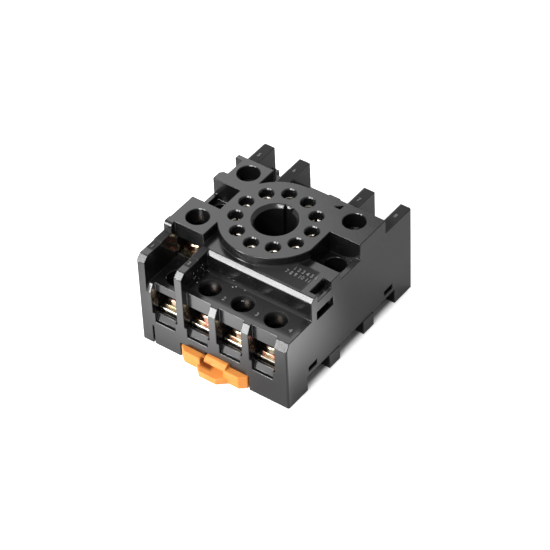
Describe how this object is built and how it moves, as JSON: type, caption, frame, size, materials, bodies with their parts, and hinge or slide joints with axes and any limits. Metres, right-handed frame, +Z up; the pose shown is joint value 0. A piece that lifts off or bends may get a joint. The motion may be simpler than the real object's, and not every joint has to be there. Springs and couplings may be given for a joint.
{
  "type": "relay socket",
  "caption": "Plug-in relay socket with round pin pattern, keyed guide bore, two tiers of screw terminals and a sliding clip for a mounting rail.",
  "frame": {"origin": "bottom centre of the socket's bounding box, rail clip included, on the plane of its feet", "axes": "+X to the right along the mounting rail, +Y to the rear away from the orange clip, +Z up out of the relay seat"},
  "size_m": [0.0428, 0.0536, 0.029],
  "materials": {
    "housing_plastic": "black moulded plastic, fine satin surface",
    "base_plastic": "black moulded plastic, satin",
    "clip_plastic": "orange moulded plastic, slightly glossy",
    "contact_metal": "nickel-plated brass strip",
    "washer_steel": "zinc-plated steel",
    "screw_steel": "zinc-plated steel"
  },
  "bodies": {
    "socket": {"housing": "housing_plastic", "base_plate": "base_plastic", "contact_01": "contact_metal", "contact_02": "contact_metal", "contact_03": "contact_metal", "contact_04": "contact_metal", "contact_05": "contact_metal", "contact_06": "contact_metal", "contact_07": "contact_metal", "contact_08": "contact_metal", "contact_09": "contact_metal", "contact_10": "contact_metal", "contact_11": "contact_metal"},
    "clip": {"rail_clip": "clip_plastic"},
    "clamp_01": {"clamp_washer_01": "washer_steel"},
    "screw_01": {"terminal_screw_01": "screw_steel"},
    "clamp_02": {"clamp_washer_02": "washer_steel"},
    "screw_02": {"terminal_screw_02": "screw_steel"},
    "clamp_03": {"clamp_washer_03": "washer_steel"},
    "screw_03": {"terminal_screw_03": "screw_steel"},
    "clamp_04": {"clamp_washer_04": "washer_steel"},
    "screw_04": {"terminal_screw_04": "screw_steel"},
    "clamp_05": {"clamp_washer_05": "washer_steel"},
    "screw_05": {"terminal_screw_05": "screw_steel"},
    "clamp_06": {"clamp_washer_06": "washer_steel"},
    "screw_06": {"terminal_screw_06": "screw_steel"},
    "clamp_07": {"clamp_washer_07": "washer_steel"},
    "screw_07": {"terminal_screw_07": "screw_steel"},
    "clamp_08": {"clamp_washer_08": "washer_steel"},
    "screw_08": {"terminal_screw_08": "screw_steel"},
    "clamp_09": {"clamp_washer_09": "washer_steel"},
    "screw_09": {"terminal_screw_09": "screw_steel"},
    "clamp_10": {"clamp_washer_10": "washer_steel"},
    "screw_10": {"terminal_screw_10": "screw_steel"},
    "clamp_11": {"clamp_washer_11": "washer_steel"},
    "screw_11": {"terminal_screw_11": "screw_steel"}
  },
  "joints": [
    {"name": "clip_slide", "type": "slide", "parent": "socket", "child": "clip", "axis": [0, -1, 0], "range_m": [0, 0.003], "stiffness_N_per_m": 2000},
    {"name": "clamp_lift_01", "type": "slide", "parent": "socket", "child": "clamp_01", "axis": [0, 0, 1], "range_m": [0, 0.002]},
    {"name": "screw_turn_01", "type": "hinge", "parent": "clamp_01", "child": "screw_01", "pos_m": [-0.0141, -0.01733, 0.012], "axis": [0, 0, 1], "range_deg": [0, 1200]},
    {"name": "clamp_lift_02", "type": "slide", "parent": "socket", "child": "clamp_02", "axis": [0, 0, 1], "range_m": [0, 0.002]},
    {"name": "screw_turn_02", "type": "hinge", "parent": "clamp_02", "child": "screw_02", "pos_m": [-0.0047, -0.01733, 0.012], "axis": [0, 0, 1], "range_deg": [0, 1200]},
    {"name": "clamp_lift_03", "type": "slide", "parent": "socket", "child": "clamp_03", "axis": [0, 0, 1], "range_m": [0, 0.002]},
    {"name": "screw_turn_03", "type": "hinge", "parent": "clamp_03", "child": "screw_03", "pos_m": [0.0047, -0.01733, 0.012], "axis": [0, 0, 1], "range_deg": [0, 1200]},
    {"name": "clamp_lift_04", "type": "slide", "parent": "socket", "child": "clamp_04", "axis": [0, 0, 1], "range_m": [0, 0.002]},
    {"name": "screw_turn_04", "type": "hinge", "parent": "clamp_04", "child": "screw_04", "pos_m": [0.0141, -0.01733, 0.012], "axis": [0, 0, 1], "range_deg": [0, 1200]},
    {"name": "clamp_lift_05", "type": "slide", "parent": "socket", "child": "clamp_05", "axis": [0, 0, 1], "range_m": [0, 0.002]},
    {"name": "screw_turn_05", "type": "hinge", "parent": "clamp_05", "child": "screw_05", "pos_m": [-0.0141, 0.02067, 0.012], "axis": [0, 0, 1], "range_deg": [0, 1200]},
    {"name": "clamp_lift_06", "type": "slide", "parent": "socket", "child": "clamp_06", "axis": [0, 0, 1], "range_m": [0, 0.002]},
    {"name": "screw_turn_06", "type": "hinge", "parent": "clamp_06", "child": "screw_06", "pos_m": [-0.0047, 0.02067, 0.012], "axis": [0, 0, 1], "range_deg": [0, 1200]},
    {"name": "clamp_lift_07", "type": "slide", "parent": "socket", "child": "clamp_07", "axis": [0, 0, 1], "range_m": [0, 0.002]},
    {"name": "screw_turn_07", "type": "hinge", "parent": "clamp_07", "child": "screw_07", "pos_m": [0.0047, 0.02067, 0.012], "axis": [0, 0, 1], "range_deg": [0, 1200]},
    {"name": "clamp_lift_08", "type": "slide", "parent": "socket", "child": "clamp_08", "axis": [0, 0, 1], "range_m": [0, 0.002]},
    {"name": "screw_turn_08", "type": "hinge", "parent": "clamp_08", "child": "screw_08", "pos_m": [0.0141, 0.02067, 0.012], "axis": [0, 0, 1], "range_deg": [0, 1200]},
    {"name": "clamp_lift_09", "type": "slide", "parent": "socket", "child": "clamp_09", "axis": [0, 0, 1], "range_m": [0, 0.002]},
    {"name": "screw_turn_09", "type": "hinge", "parent": "clamp_09", "child": "screw_09", "pos_m": [-0.0156, -0.00713, 0.021], "axis": [0, 0, 1], "range_deg": [0, 1200]},
    {"name": "clamp_lift_10", "type": "slide", "parent": "socket", "child": "clamp_10", "axis": [0, 0, 1], "range_m": [0, 0.002]},
    {"name": "screw_turn_10", "type": "hinge", "parent": "clamp_10", "child": "screw_10", "pos_m": [-0.015, 0.01188, 0.021], "axis": [0, 0, 1], "range_deg": [0, 1200]},
    {"name": "clamp_lift_11", "type": "slide", "parent": "socket", "child": "clamp_11", "axis": [0, 0, 1], "range_m": [0, 0.002]},
    {"name": "screw_turn_11", "type": "hinge", "parent": "clamp_11", "child": "screw_11", "pos_m": [0.0155, 0.01188, 0.021], "axis": [0, 0, 1], "range_deg": [0, 1200]}
  ],
  "couplings": [
    {"joint": "screw_turn_01", "follows": "clamp_lift_01", "rad_per_m": 10472},
    {"joint": "screw_turn_02", "follows": "clamp_lift_02", "rad_per_m": 10472},
    {"joint": "screw_turn_03", "follows": "clamp_lift_03", "rad_per_m": 10472},
    {"joint": "screw_turn_04", "follows": "clamp_lift_04", "rad_per_m": 10472},
    {"joint": "screw_turn_05", "follows": "clamp_lift_05", "rad_per_m": 10472},
    {"joint": "screw_turn_06", "follows": "clamp_lift_06", "rad_per_m": 10472},
    {"joint": "screw_turn_07", "follows": "clamp_lift_07", "rad_per_m": 10472},
    {"joint": "screw_turn_08", "follows": "clamp_lift_08", "rad_per_m": 10472},
    {"joint": "screw_turn_09", "follows": "clamp_lift_09", "rad_per_m": 10472},
    {"joint": "screw_turn_10", "follows": "clamp_lift_10", "rad_per_m": 10472},
    {"joint": "screw_turn_11", "follows": "clamp_lift_11", "rad_per_m": 10472}
  ]
}
